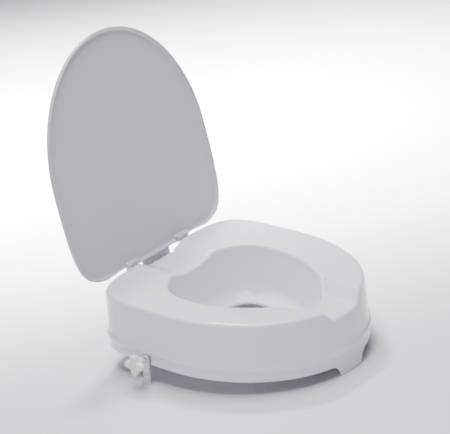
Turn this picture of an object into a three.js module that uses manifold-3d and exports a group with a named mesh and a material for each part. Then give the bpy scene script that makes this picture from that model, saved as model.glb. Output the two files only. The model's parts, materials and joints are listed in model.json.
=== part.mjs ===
// Raised toilet seat with a hinged lid and two screw clamps.
// Units are millimetres and +Z is up. The user's front is -Y, the lid's hinge is at +Y, and X = 0 is
// the plane of symmetry. While the parts are drawn, z = 0 is the skirt's bottom edge, which lies on the
// bowl. The last step moves the whole group so that the origin is below its centre, at its lowest point.

import * as THREE from 'three';
import { ParametricGeometry } from 'three/addons/geometries/ParametricGeometry.js';
import * as BufferGeometryUtils from 'three/addons/utils/BufferGeometryUtils.js';
import Module from 'manifold-3d';

const wasm = await Module();
wasm.setup();

// ---------------------------------------------------------------- driving dimensions

const GAP = 0.3;                 // clearance between pieces that touch on the real object
const SIDES = { left: 1, right: -1 };

const ROUND_STEPS = 76;          // sections in one turn round the seat

const seat = {
  height: 98.5,                  // deck above the bowl
  outline: { halfWidth: 181, front: 221, rear: 169.5, centreY: -5.5, frontPower: 2, rearPower: 5.3 },
  aperture: { halfWidth: 111, front: 164, rear: 88.5, centreY: 3.5, frontPower: 1.8, rearPower: 2.6 },
  wall: 3.6,
  outerEdgeRadius: 7,
  innerEdgeRadius: 6,
  dish: 5,                       // how far the deck falls from its outer edge to the aperture
  flareFront: 5,                 // how far the skirt's foot stands out beyond the deck, at the front
  flareRear: 1,
  bend: { inset: 17, z: 16 },    // where the inner wall turns into the funnel lip
  lipInset: 34,
};

// The bead round the skirt: heights of its lower edge, its crest, its upper shoulder and its upper edge.
const bead = { bottom: 16.8, crest: 20.3, shoulder: 26, top: 29.5, proud: 2.9 };

// Half widths of each recess at its floor and at its crest, near the aperture and near the outline.
const frontRecess = {
  depth: 18.5,
  inner: { y: -133, floor: 38, crest: 64 },
  outer: { y: -209, floor: 30, crest: 52 },
};
const rearRecess = {
  depth: 13.5,
  inner: { y: 92, floor: 18, crest: 58 },
  outer: { y: 150, floor: 28, crest: 60 },
};

const lug = { drop: 19.5, bottomHalf: 27, topHalf: 45, top: 4, wall: 4 };

const lid = {
  lean: 11.8,                    // degrees behind upright when open
  halfWidth: 186.5,
  centreY: -161,                 // the widest place, in front of the hinge axis when closed
  tipReach: 225,
  rearReach: 196.5,
  rearPower: 3.6,
  rearY: 7.2,                    // the straight rear edge, behind the hinge axis when closed
  rimPlane: -0.6,                // height of the rim's edge above the hinge axis, when closed
  depth: 9.7,                    // rim edge to the top face
  dome: 5,
  wall: 2.8,
  edgeRadius: 5,
};

const hinge = { y: 167, z: 99.4, pinRadius: 2, earRadius: 5, knuckleRadius: 4.8 };

const clamp = {
  y: 42.5,
  axisZ: 11,                     // height of the clamp screw
  armInner: 184.5,
  armOuter: 190.5,
  armWidth: 12,
  armBottom: -35,
  armTop: 16.3,
  studRadius: 3.2,
};

// ---------------------------------------------------------------- solids and meshes

/** Turn a closed three.js geometry into a manifold solid, dropping triangles of no area. */
function solidOf(geometry) {
  const bare = geometry.clone();
  for (const name of Object.keys(bare.attributes)) {
    if (name !== 'position') bare.deleteAttribute(name);
  }
  const welded = BufferGeometryUtils.mergeVertices(bare, 1e-4);
  const index = welded.index.array;
  const triangles = [];
  for (let i = 0; i < index.length; i += 3) {
    const [a, b, c] = [index[i], index[i + 1], index[i + 2]];
    if (a !== b && b !== c && c !== a) triangles.push(a, b, c);
  }
  return new wasm.Manifold(new wasm.Mesh({
    numProp: 3,
    vertProperties: new Float32Array(welded.attributes.position.array),
    triVerts: new Uint32Array(triangles),
  }));
}

/** Turn a manifold solid back into a flat-shaded three.js geometry. */
function geometryOf(solid) {
  const mesh = solid.getMesh();
  const geometry = new THREE.BufferGeometry();
  geometry.setAttribute('position', new THREE.BufferAttribute(new Float32Array(mesh.vertProperties), 3));
  geometry.setIndex(new THREE.BufferAttribute(new Uint32Array(mesh.triVerts), 1));
  const flat = geometry.toNonIndexed();
  flat.computeVertexNormals();
  return flat;
}

function union(first, ...others) {
  return others.reduce((sum, other) => sum.add(other), first);
}

function cut(body, ...tools) {
  return tools.reduce((rest, tool) => rest.subtract(tool), body);
}

/** A solid box from its low corner to its high corner. The two corners may come in any order. */
function block(cornerA, cornerB) {
  const size = cornerA.map((value, i) => Math.abs(cornerB[i] - value));
  const middle = cornerA.map((value, i) => (cornerB[i] + value) / 2);
  return solidOf(new THREE.BoxGeometry(...size).translate(...middle));
}

/** A solid round bar along X or Y between two places on that axis. */
function bar(axis, from, to, radius, centre, facets = 20) {
  const geometry = new THREE.CylinderGeometry(radius, radius, Math.abs(to - from), facets);
  const middle = (from + to) / 2;
  if (axis === 'x') return solidOf(geometry.rotateZ(Math.PI / 2).translate(middle, ...centre));
  return solidOf(geometry.translate(centre[0], middle, centre[1]));
}

const group = new THREE.Group();

/** Add one sub-part to the scene as a named mesh. */
function addPart(name, shape, material) {
  const geometry = shape.isBufferGeometry ? shape : geometryOf(shape);
  const mesh = new THREE.Mesh(geometry, material);
  mesh.name = name;
  group.add(mesh);
  return mesh;
}

const plastic = {
  seat: new THREE.MeshStandardMaterial({ color: 0xe6e6ea, roughness: 0.3, metalness: 0 }),
  lid: new THREE.MeshStandardMaterial({ color: 0xe3e3e7, roughness: 0.28, metalness: 0 }),
  nylon: new THREE.MeshStandardMaterial({ color: 0xe2e4dc, roughness: 0.38, metalness: 0 }),
  rubber: new THREE.MeshStandardMaterial({ color: 0xb9bab6, roughness: 0.75, metalness: 0 }),
};
const steel = new THREE.MeshStandardMaterial({ color: 0xb8bbc0, roughness: 0.3, metalness: 1 });

// ---------------------------------------------------------------- plan curves

/**
 * A point of a closed plan curve, moved outwards by a given distance. Each half is half an oval
 * with its own power: 2 gives an ellipse and more gives a squarer shape. angle is in radians, from +X
 * towards the rear.
 */
function planPoint(curve, angle, outwards = 0) {
  const at = (turn) => {
    const [c, s] = [Math.cos(turn), Math.sin(turn)];
    const power = s > 0 ? curve.rearPower : curve.frontPower;
    const reach = s > 0 ? curve.rear : curve.front;
    const across = Math.abs(c / curve.halfWidth) ** power;
    const along = Math.abs(s / reach) ** power;
    const radius = (across + along) ** (-1 / power);
    return new THREE.Vector2(radius * c, curve.centreY + radius * s);
  };
  const point = at(angle);
  const step = 1e-3;
  const tangent = at(angle + step).sub(at(angle - step)).normalize();
  return point.add(new THREE.Vector2(tangent.y, -tangent.x).multiplyScalar(outwards));
}

const smooth = (value, from, to) => THREE.MathUtils.smoothstep(value, from, to);
const mix = THREE.MathUtils.lerp;

/** How far the recess at the front or the rear lowers the deck at a place. */
function recessDrop(x, y) {
  const recess = y < seat.aperture.centreY ? frontRecess : rearRecess;
  const { inner, outer } = recess;
  const along = THREE.MathUtils.clamp((y - inner.y) / (outer.y - inner.y), 0, 1);
  const floorHalf = mix(inner.floor, outer.floor, along);
  const crestHalf = mix(inner.crest, outer.crest, along);
  return recess.depth * (1 - smooth(Math.abs(x), floorHalf, crestHalf));
}

/** How far the skirt stands out beyond the deck's outline at a height. */
function skirtOffset(angle, z) {
  const middle = (seat.flareFront + seat.flareRear) / 2;
  const swing = (seat.flareFront - seat.flareRear) / 2;
  return (middle - swing * Math.sin(angle)) * (1 - z / seat.height);
}

/** A quarter turn of points, from pointing outwards (0) to pointing up (1). */
function quarter(steps) {
  return Array.from({ length: steps + 1 }, (_, i) => (i / steps) * (Math.PI / 2));
}

// ---------------------------------------------------------------- seat shell

/** The points round one upright section of the seat, taken as if it were full of plastic. */
function filledSection(angle) {
  const points = [];
  const outer = (offset, z) => {
    const place = planPoint(seat.outline, angle, offset + skirtOffset(angle, z));
    points.push([place.x, place.y, z]);
  };
  outer(0, 0);
  outer(0, bead.bottom);
  outer(0.8 * bead.proud, bead.bottom + 0.7);
  outer(bead.proud, bead.crest);
  outer(0.8 * bead.proud, bead.shoulder);
  outer(0, bead.top);

  const rim = planPoint(seat.outline, angle);
  const edge = seat.outerEdgeRadius;
  const rimZ = seat.height - recessDrop(rim.x, rim.y);
  outer(0, (bead.top + rimZ - edge) / 2);
  for (const turn of quarter(4)) {
    outer(edge * (Math.cos(turn) - 1), rimZ + edge * (Math.sin(turn) - 1));
  }

  const deckStart = planPoint(seat.outline, angle, -edge);
  const deckEnd = planPoint(seat.aperture, angle, seat.innerEdgeRadius);
  for (const along of [0.2, 0.4, 0.6, 0.8]) {
    const place = deckStart.clone().lerp(deckEnd, along);
    points.push([place.x, place.y, deckHeight(place, along)]);
  }

  const round = seat.innerEdgeRadius;
  const innerZ = deckHeight(planPoint(seat.aperture, angle), 1);
  const inner = (offset, z) => {
    const place = planPoint(seat.aperture, angle, offset);
    points.push([place.x, place.y, z]);
  };
  for (const turn of quarter(3).reverse()) {
    inner(round * (1 - Math.cos(turn)), innerZ + round * (Math.sin(turn) - 1));
  }
  inner(-0.5 * seat.bend.inset, (innerZ - round + seat.bend.z) / 2);
  inner(-0.96 * seat.bend.inset, seat.bend.z + 4);
  inner(-1.12 * seat.bend.inset, seat.bend.z - 3);
  inner(-seat.lipInset, 0);
  return points;
}

/** Height of the deck: it dips towards the aperture and drops into the two recesses. */
function deckHeight(place, along) {
  return seat.height - seat.dish * along ** 2 - recessDrop(place.x, place.y);
}

/** The points round one section of the space under the deck, open at the bottom. */
function hollowSection(angle) {
  const points = [];
  const below = -1;
  const { wall } = seat;
  const outer = (offset, z) => {
    const place = planPoint(seat.outline, angle, offset - wall + skirtOffset(angle, z));
    points.push([place.x, place.y, z]);
  };
  const rim = planPoint(seat.outline, angle);
  const underRim = seat.height - recessDrop(rim.x, rim.y) - wall;
  outer(0, below);
  outer(0, underRim - 4);
  outer(-1.4, underRim - 1.2);
  outer(-4, underRim);

  const deckStart = planPoint(seat.outline, angle, -seat.outerEdgeRadius);
  const deckEnd = planPoint(seat.aperture, angle, seat.innerEdgeRadius);
  for (const along of [0.2, 0.4, 0.6, 0.8, 1]) {
    const place = deckStart.clone().lerp(deckEnd, along);
    points.push([place.x, place.y, deckHeight(place, along) - wall]);
  }

  const inner = (offset, z) => {
    const place = planPoint(seat.aperture, angle, offset + wall);
    points.push([place.x, place.y, z]);
  };
  const underInner = points.at(-1)[2];
  inner(0.6, underInner - 4);
  inner(-0.96 * seat.bend.inset, seat.bend.z + 4);
  inner(-1.12 * seat.bend.inset, seat.bend.z - 3);
  inner(-seat.lipInset + 2, below);
  return points;
}

/** Sweep an upright section once round the seat. Steps are closer together at the front and rear. */
function sweepRound(section, steps) {
  const sections = Array.from({ length: steps }, (_, i) => {
    const turn = (i / steps) * 2 * Math.PI;
    return section(turn + 0.28 * Math.sin(2 * turn));
  });
  const count = sections[0].length;
  const surface = (u, v, target) => {
    const ring = sections[Math.round(u * steps) % steps];
    target.set(...ring[Math.round(v * count) % count]);
  };
  return solidOf(new ParametricGeometry(surface, steps, count));
}

/** The lug that hooks over the front of the bowl: a piece of the skirt that reaches further down. */
function lugSolid() {
  const curtain = sweepRound((angle) => {
    const levels = [-lug.drop, lug.top - 1];
    const faces = [0, -lug.wall];
    const corner = (face, z) => {
      const place = planPoint(seat.outline, angle, face + skirtOffset(angle, 0));
      return [place.x, place.y, z];
    };
    return [
      corner(faces[0], levels[0]), corner(faces[0], levels[1]),
      corner(faces[1], levels[1]), corner(faces[1], levels[0]),
    ];
  }, ROUND_STEPS);
  const shape = new THREE.Shape();
  shape.moveTo(-lug.bottomHalf, -lug.drop - 1);
  shape.lineTo(lug.bottomHalf, -lug.drop - 1);
  shape.quadraticCurveTo(lug.bottomHalf + 1, -2, lug.topHalf, 1);
  shape.lineTo(lug.topHalf, lug.top);
  shape.lineTo(-lug.topHalf, lug.top);
  shape.lineTo(-lug.topHalf, 1);
  shape.quadraticCurveTo(-lug.bottomHalf - 1, -2, -lug.bottomHalf, -lug.drop - 1);
  const reach = { depth: 60, fromY: -190 };   // enough to span the front of the skirt
  const options = { depth: reach.depth, bevelEnabled: false, curveSegments: 8 };
  const prism = new THREE.ExtrudeGeometry(shape, options);
  return curtain.intersect(solidOf(prism.rotateX(Math.PI / 2).translate(0, reach.fromY, 0)));
}

/** Two upright stiffeners behind the lug. Their flat rear faces meet the front of the bowl. */
const lugRibs = { x: 15, thickness: 5, faceY: -215.5, backY: -228.5 };

function lugStiffeners() {
  return Object.values(SIDES).map((side) => block(
    [side * (lugRibs.x - lugRibs.thickness / 2), lugRibs.faceY, -lug.drop],
    [side * (lugRibs.x + lugRibs.thickness / 2), lugRibs.backY, lug.top],
  ));
}

const ribPlan = { thickness: 3, footZ: 3.7, reachIn: 60, reachOut: 260, height: 120 };
const padPlan = { angles: [35, 145, 232, 308], length: 24, width: 12, bottom: -1, margin: 2, seatHeight: 3 };
const plainRibAngles = [0, 70, 110, 180, 262, 278];

/** The centre of the space under the deck at an angle, where a rubber foot is fixed. */
function padCentre(angle) {
  const outside = planPoint(seat.outline, angle, -seat.wall);
  const inside = planPoint(seat.aperture, angle, -seat.lipInset / 2);
  return outside.lerp(inside, 0.42);
}

/** An upright rib that joins the inner and the outer wall. */
function rib(degrees) {
  const angle = THREE.MathUtils.degToRad(degrees);
  const length = ribPlan.reachOut - ribPlan.reachIn;
  const box = new THREE.BoxGeometry(length, ribPlan.thickness, ribPlan.height);
  box.translate((ribPlan.reachIn + ribPlan.reachOut) / 2, 0, ribPlan.footZ + ribPlan.height / 2);
  const through = padCentre(angle);
  const heading = Math.atan2(through.y - seat.aperture.centreY, through.x);
  return solidOf(box.rotateZ(heading).translate(0, seat.aperture.centreY, 0));
}

/** The seat for a rubber foot, at the bottom of a rib. */
function ribFoot(degrees) {
  const { x, y, heading } = padPlace(degrees);
  const { length, width, margin, seatHeight } = padPlan;
  const box = new THREE.BoxGeometry(length + 2 * margin, width + 2 * margin, seatHeight);
  return solidOf(box.rotateZ(heading).translate(x, y, ribPlan.footZ + seatHeight / 2));
}

function padPlace(degrees) {
  const place = padCentre(THREE.MathUtils.degToRad(degrees));
  return { x: place.x, y: place.y, heading: Math.atan2(place.y - seat.aperture.centreY, place.x) };
}

const nutPlan = { size: 11, thickness: 5, centreX: 164 };
const boss = { inner: 156, outer: 172, half: 14, bottom: 3, top: 30, bridgeBottom: 18.5, bridgeOuter: 188 };
const armNotch = { inner: 172.5, outer: 200, clearance: 2, bottom: -5 };

/** The boss inside the skirt that holds the clamp's nut, reaching over the arm to the skirt. */
function nutBoss(side) {
  const { inner, outer, half, bottom, top, bridgeBottom, bridgeOuter } = boss;
  return [
    block([side * inner, clamp.y - half, bottom], [side * outer, clamp.y + half, top]),
    block([side * inner, clamp.y - half, bridgeBottom], [side * bridgeOuter, clamp.y + half, top]),
  ];
}

/** A clearance hole for the clamp's stud, between two distances from the middle. */
function screwHole(side, inner, outer) {
  return bar('x', side * inner, side * outer, clamp.studRadius + GAP, [clamp.y, clamp.axisZ]);
}

/** What is cut out of the seat for one clamp: the arm's notch, the nut's pocket and the screw's hole. */
function clampCuts(side) {
  const notchHalf = clamp.armWidth / 2 + armNotch.clearance;
  const pocketHalf = nutPlan.size / 2 + GAP;
  const pocketDepth = nutPlan.thickness / 2 + GAP;
  return [
    block(
      [side * armNotch.inner, clamp.y - notchHalf, armNotch.bottom],
      [side * armNotch.outer, clamp.y + notchHalf, bead.bottom],
    ),
    block(
      [side * (nutPlan.centreX - pocketDepth), clamp.y - pocketHalf, armNotch.bottom],
      [side * (nutPlan.centreX + pocketDepth), clamp.y + pocketHalf, clamp.axisZ + pocketHalf],
    ),
    screwHole(side, boss.inner - 6, boss.outer + 8),
  ];
}

const bracket = { inner: 63, outer: 92, bottom: 64, top: 87, front: 164.6, thickness: 3.2 };
const screwPlaces = [{ x: 68, z: 70 }, { x: 86, z: 78 }];
const screw = { radius: 2, headRadius: 3.8, headHeight: 2.2, length: 13 };
const screwBoss = { from: 150, to: 168, radius: 4.6, holeFrom: 152, holeTo: 172, facets: 14 };

/** The bosses that the hinge screws bite into, on the inside of the rear wall. */
function screwBosses(side) {
  const { from, to, radius, facets } = screwBoss;
  return screwPlaces.map(({ x, z }) => bar('y', from, to, radius, [side * x, z], facets));
}

function screwHoles(side) {
  const { holeFrom, holeTo, facets } = screwBoss;
  return screwPlaces.map(({ x, z }) => bar('y', holeFrom, holeTo, screw.radius + GAP, [side * x, z], facets));
}

function seatShell() {
  const sides = Object.values(SIDES);
  const keep = [
    ...padPlan.angles.flatMap((degrees) => [rib(degrees), ribFoot(degrees)]),
    ...plainRibAngles.map(rib),
    ...sides.flatMap(nutBoss),
    ...sides.flatMap(screwBosses),
  ];
  const hollow = cut(sweepRound(hollowSection, ROUND_STEPS), ...keep);
  const body = cut(sweepRound(filledSection, ROUND_STEPS), hollow);
  const hooked = union(body, lugSolid(), ...lugStiffeners());
  return cut(hooked, ...sides.flatMap(clampCuts), ...sides.flatMap(screwHoles));
}

// ---------------------------------------------------------------- rubber feet under the seat

function rimPad(degrees) {
  const { x, y, heading } = padPlace(degrees);
  const height = ribPlan.footZ - GAP - padPlan.bottom;
  const box = new THREE.BoxGeometry(padPlan.length, padPlan.width, height);
  return box.rotateZ(heading).translate(x, y, padPlan.bottom + height / 2);
}

// ---------------------------------------------------------------- lid

// The lid is drawn closed, with the hinge axis as its own X axis. Its tip is at -Y.

/** The lid's outline, drawn in by a distance. It is egg-shaped with a straight rear edge. */
function lidPoint(angle, inset) {
  const [c, s] = [Math.cos(angle), Math.sin(angle)];
  const power = s > 0 ? lid.rearPower : 2;
  const reach = (s > 0 ? lid.rearReach : lid.tipReach) - inset;
  const across = Math.abs(c / (lid.halfWidth - inset)) ** power;
  const curved = (across + Math.abs(s / reach) ** power) ** (-1 / power);
  const toRearEdge = lid.rearY - lid.centreY - inset;
  const radius = s > 0 ? Math.min(curved, toRearEdge / s) : curved;
  return [radius * c, lid.centreY + radius * s];
}

/** A domed solid with the lid's outline, from one height to another. */
function lidBlank(inset, bottom, top, edgeRadius, steps) {
  const rings = [];
  const addRing = (scale, drawnIn, z) => rings.push({ scale, drawnIn, z });
  addRing(0, inset, bottom);
  addRing(0.5, inset, bottom);
  addRing(1, inset, bottom);
  for (const turn of quarter(3)) {
    addRing(1, inset + edgeRadius * (1 - Math.cos(turn)), top + edgeRadius * (Math.sin(turn) - 1));
  }
  for (const scale of [0.8, 0.55, 0.3, 0]) {
    addRing(scale, inset + edgeRadius, top + lid.dome * (1 - scale ** 2));
  }
  const last = rings.length - 1;
  const surface = (u, v, target) => {
    const { scale, drawnIn, z } = rings[Math.round(v * last)];
    const turn = ((Math.round(u * steps) % steps) / steps) * 2 * Math.PI;
    const [x, y] = lidPoint(turn, drawnIn);
    target.set(x * scale, lid.centreY + (y - lid.centreY) * scale, z);
  };
  return solidOf(new ParametricGeometry(surface, steps, last));
}

const tongue = { half: 34, rearY: 24 };
const knuckle = { inner: 50, outer: 72 };
const notch = { inner: 72.6, outer: 122, frontY: 2.3 };
const stopRib = { x: 12, thickness: 3, bottom: -24, top: -17, depth: 5.9 };

const openTurn = THREE.MathUtils.degToRad(90 + lid.lean);

/** The two ribs on the tongue that rest on the seat's rear wall and hold the open lid. */
function stopRibs() {
  const face = bracket.front - hinge.y;
  return Object.values(SIDES).map((side) => {
    const box = new THREE.BoxGeometry(stopRib.thickness, stopRib.depth, stopRib.top - stopRib.bottom);
    box.translate(side * stopRib.x, face + stopRib.depth / 2, (stopRib.top + stopRib.bottom) / 2);
    return solidOf(box.rotateX(openTurn));
  });
}

function lidBody() {
  const top = lid.rimPlane + lid.depth;
  const steps = 72;
  const skin = cut(
    lidBlank(0, lid.rimPlane, top, lid.edgeRadius, steps),
    lidBlank(lid.wall, lid.rimPlane - 20, top - lid.wall, lid.edgeRadius - 1, steps),
  );
  const tongueBlock = block([-tongue.half, -6, top - lid.wall], [tongue.half, tongue.rearY, top]);
  const notches = Object.values(SIDES).map((side) => block(
    [side * notch.inner, notch.frontY, lid.rimPlane - 5],
    [side * notch.outer, lid.rearY + 5, top + 2],
  ));
  const knuckles = Object.values(SIDES).flatMap((side) => [
    bar('x', side * knuckle.inner, side * knuckle.outer, hinge.knuckleRadius, [0, 0]),
    block(
      [side * knuckle.inner, -hinge.knuckleRadius, lid.rimPlane],
      [side * knuckle.outer, lid.rearY, top - 1],
    ),
  ]);
  const pinHoles = Object.values(SIDES).map((side) => (
    bar('x', side * (knuckle.inner - 5), side * (knuckle.outer + 5), hinge.pinRadius + GAP, [0, 0])
  ));
  const body = union(cut(skin, ...notches), tongueBlock, ...knuckles, ...stopRibs());
  return cut(body, ...pinHoles);
}

/** Put the lid on its hinge, open and leaning back. */
function placeLid(mesh) {
  mesh.position.set(0, hinge.y, hinge.z);
  mesh.rotation.x = -openTurn;
  return mesh;
}

// ---------------------------------------------------------------- hinge

const ear = { inner: 73, outer: 77 };

/** A moulded bracket screwed to the seat's rear wall, with an ear that carries the hinge pin. */
function hingeBracket(side) {
  const back = bracket.front + bracket.thickness;
  const plate = block(
    [side * bracket.inner, bracket.front, bracket.bottom],
    [side * bracket.outer, back, bracket.top],
  );
  const shape = new THREE.Shape();
  shape.moveTo(bracket.front, bracket.bottom + 4);
  shape.lineTo(back, bracket.bottom + 4);
  shape.lineTo(back + 1.5, bracket.top);
  shape.absarc(hinge.y, hinge.z, hinge.earRadius, -Math.PI / 4, Math.PI, false);
  shape.lineTo(bracket.front, hinge.z - 6);
  const depth = ear.outer - ear.inner;
  const web = new THREE.ExtrudeGeometry(shape, { depth, bevelEnabled: false, curveSegments: 10 });
  // The shape is drawn in Y and Z, so its axes are turned to lie in that plane.
  const turn = new THREE.Matrix4().set(0, 0, 1, 0, 1, 0, 0, 0, 0, 1, 0, 0, 0, 0, 0, 1);
  web.applyMatrix4(turn).translate(side > 0 ? ear.inner : -ear.outer, 0, 0);
  const holeRadius = hinge.pinRadius + GAP;
  const pinHole = bar('x', side * (ear.inner - 3), side * (ear.outer + 3), holeRadius, [hinge.y, hinge.z]);
  return cut(union(plate, solidOf(web)), pinHole, ...screwHoles(side));
}

/** A steel pin with a flat head outside the ear. */
function hingePin(side) {
  const headStart = ear.outer + GAP;
  const profile = [
    [0, knuckle.inner - 1], [hinge.pinRadius, knuckle.inner - 1], [hinge.pinRadius, headStart],
    [hinge.pinRadius + 1.4, headStart], [hinge.pinRadius + 1.4, headStart + 1.4], [0, headStart + 1.4],
  ].map(([radius, along]) => new THREE.Vector2(radius, along));
  const pin = new THREE.LatheGeometry(profile, 14);
  return pin.rotateZ(-side * Math.PI / 2).translate(0, hinge.y, hinge.z);
}

/** A pan-head screw through the bracket into its boss. */
function hingeScrew(side, { x, z }) {
  const headStart = bracket.front + bracket.thickness + GAP;
  const tip = headStart - screw.length;
  const profile = [
    [0, tip], [screw.radius * 0.5, tip], [screw.radius, tip + 2.5], [screw.radius, headStart],
    [screw.headRadius, headStart], [screw.headRadius, headStart + screw.headHeight * 0.5],
    [screw.headRadius * 0.7, headStart + screw.headHeight], [0, headStart + screw.headHeight],
  ].map(([radius, along]) => new THREE.Vector2(radius, along));
  return new THREE.LatheGeometry(profile, 12).translate(side * x, 0, z);
}

// ---------------------------------------------------------------- clamps

const armPlan = { corner: 4, taper: 0.5, ribProud: 1, ribHalf: 0.9, ribAcross: [-4, 0, 4], ribTop: -1 };

/** The arm that hangs beside the bowl. Raised ribs run down its outer face. */
function clampArm(side) {
  const { corner, taper } = armPlan;
  const half = clamp.armWidth / 2;
  const shape = new THREE.Shape();
  const shoulder = clamp.armTop - corner;
  shape.moveTo(-half + taper, clamp.armBottom);
  shape.lineTo(half - taper, clamp.armBottom);
  shape.lineTo(half, shoulder);
  shape.quadraticCurveTo(half, clamp.armTop, half - corner, clamp.armTop);
  shape.lineTo(-half + corner, clamp.armTop);
  shape.quadraticCurveTo(-half, clamp.armTop, -half, shoulder);
  const thickness = clamp.armOuter - clamp.armInner - armPlan.ribProud;
  const options = { depth: thickness, bevelEnabled: false, curveSegments: 5 };
  const plate = new THREE.ExtrudeGeometry(shape, options);
  // The outline is drawn in Y and Z and given its thickness along X.
  const turn = new THREE.Matrix4().set(0, 0, 1, 0, 1, 0, 0, 0, 0, 1, 0, 0, 0, 0, 0, 1);
  const start = side > 0 ? clamp.armInner : -clamp.armInner - thickness;
  plate.applyMatrix4(turn).translate(start, clamp.y, 0);
  const ribs = armPlan.ribAcross.map((across) => block(
    [side * (clamp.armOuter - 2 * armPlan.ribProud), clamp.y + across - armPlan.ribHalf, clamp.armBottom],
    [side * clamp.armOuter, clamp.y + across + armPlan.ribHalf, armPlan.ribTop],
  ));
  return cut(union(solidOf(plate), ...ribs), screwHole(side, clamp.armInner - 4, clamp.armOuter + 4));
}

const gripPad = { thickness: 3, half: 5, bottom: -32, top: -6 };

function clampPad(side) {
  const outer = clamp.armInner - GAP;
  return block(
    [side * (outer - gripPad.thickness), clamp.y - gripPad.half, gripPad.bottom],
    [side * outer, clamp.y + gripPad.half, gripPad.top],
  );
}

const knob = {
  hubInner: 193,
  collarInner: 199,              // where the slim hub widens; nothing wider may pass under the bead
  starInner: 208.5,
  outer: 218.5,
  lobeRadius: 18.5,
  valleyRadius: 9.5,
  hubRadius: 5.4,
  collarRadius: 8,
};

/** A four-lobed star knob with a hub towards the arm and a blind hole for the stud. */
function clampKnob(side) {
  const steps = 48;
  const shape = new THREE.Shape(Array.from({ length: steps }, (_, i) => {
    const turn = (i / steps) * 2 * Math.PI;
    const lobe = (1 + Math.cos(4 * turn)) / 2;
    const radius = mix(knob.valleyRadius, knob.lobeRadius, lobe ** 0.8);
    return new THREE.Vector2(radius * Math.cos(turn), radius * Math.sin(turn));
  }));
  const bevel = 1.2;
  const depth = knob.outer - knob.starInner - 2 * bevel;
  const star = new THREE.ExtrudeGeometry(shape, {
    depth, bevelEnabled: true, bevelThickness: bevel, bevelSize: bevel, bevelOffset: -bevel, bevelSegments: 1,
  });
  star.translate(0, 0, bevel + knob.starInner).rotateY(side * Math.PI / 2);
  star.translate(0, clamp.y, clamp.axisZ);
  const centre = [clamp.y, clamp.axisZ];
  const hub = bar('x', side * knob.hubInner, side * knob.starInner, knob.hubRadius, centre);
  const collar = bar('x', side * knob.collarInner, side * (knob.starInner + 2), knob.collarRadius, centre);
  return cut(union(solidOf(star), hub, collar), screwHole(side, knob.hubInner - 4, knob.outer - 4));
}

const stud = { inner: 154, outer: 214 };

/** The threaded stud, drawn as a plain rod with a tapered tip. Its outer end sits in the knob. */
function clampStud(side) {
  const profile = [
    [0, stud.inner], [clamp.studRadius * 0.6, stud.inner], [clamp.studRadius, stud.inner + 3],
    [clamp.studRadius, stud.outer], [0, stud.outer],
  ].map(([radius, along]) => new THREE.Vector2(radius, along));
  const geometry = new THREE.LatheGeometry(profile, 16);
  return geometry.rotateZ(-side * Math.PI / 2).translate(0, clamp.y, clamp.axisZ);
}

const washer = { inner: clamp.armOuter + GAP, outer: knob.hubInner - GAP, radius: 5.6 };
const clip = { inner: 182.6, outer: clamp.armInner - GAP, radius: 5 };

/** A flat ring round the stud. */
function ring(side, { inner, outer, radius }) {
  const disc = bar('x', side * inner, side * outer, radius, [clamp.y, clamp.axisZ]);
  return cut(disc, screwHole(side, inner - 1, outer + 1));
}

/** The square nut that stays in the seat's boss. */
function clampNut(side) {
  const half = nutPlan.size / 2;
  const [inner, outer] = [nutPlan.centreX - nutPlan.thickness / 2, nutPlan.centreX + nutPlan.thickness / 2];
  const square = block(
    [side * inner, clamp.y - half, clamp.axisZ - half],
    [side * outer, clamp.y + half, clamp.axisZ + half],
  );
  return cut(square, screwHole(side, inner - 4, outer + 4));
}

// ---------------------------------------------------------------- assembly

addPart('seat_shell', seatShell(), plastic.seat);
padPlan.angles.forEach((degrees, i) => addPart(`rim_pad_${i + 1}`, rimPad(degrees), plastic.rubber));
placeLid(addPart('lid', lidBody(), plastic.lid));

for (const [name, side] of Object.entries(SIDES)) {
  addPart(`hinge_bracket_${name}`, hingeBracket(side), plastic.seat);
  addPart(`hinge_pin_${name}`, hingePin(side), steel);
  screwPlaces.forEach((place, i) => {
    addPart(`hinge_screw_${name}_${i + 1}`, hingeScrew(side, place), steel);
  });
  addPart(`clamp_arm_${name}`, clampArm(side), plastic.nylon);
  addPart(`clamp_pad_${name}`, clampPad(side), plastic.rubber);
  addPart(`clamp_knob_${name}`, clampKnob(side), plastic.nylon);
  addPart(`clamp_stud_${name}`, clampStud(side), steel);
  addPart(`clamp_washer_${name}`, ring(side, washer), steel);
  addPart(`clamp_clip_${name}`, ring(side, clip), steel);
  addPart(`clamp_nut_${name}`, clampNut(side), steel);
}

/** Move the group so that the origin is below its middle, at its lowest point. */
function standOnOrigin(whole) {
  whole.updateMatrixWorld(true);
  const box = new THREE.Box3().setFromObject(whole, true);
  const middle = box.getCenter(new THREE.Vector3());
  whole.position.set(-middle.x, -middle.y, -box.min.z);
  whole.updateMatrixWorld(true);
  return whole;
}

export default standOnOrigin(group);
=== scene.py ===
"""Looks of a raised toilet seat with an open lid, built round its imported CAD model.

Shapes are drawn in millimetres in the CAD's drawing frame: z = 0 is the skirt's bottom edge, X = 0 is
the plane of symmetry, -Y is the user's front. build() scales them to metres and moves them to the
model's frame.
"""

import json
import math

import bmesh
import bpy
import numpy as np
from mathutils import Matrix, Vector


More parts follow.
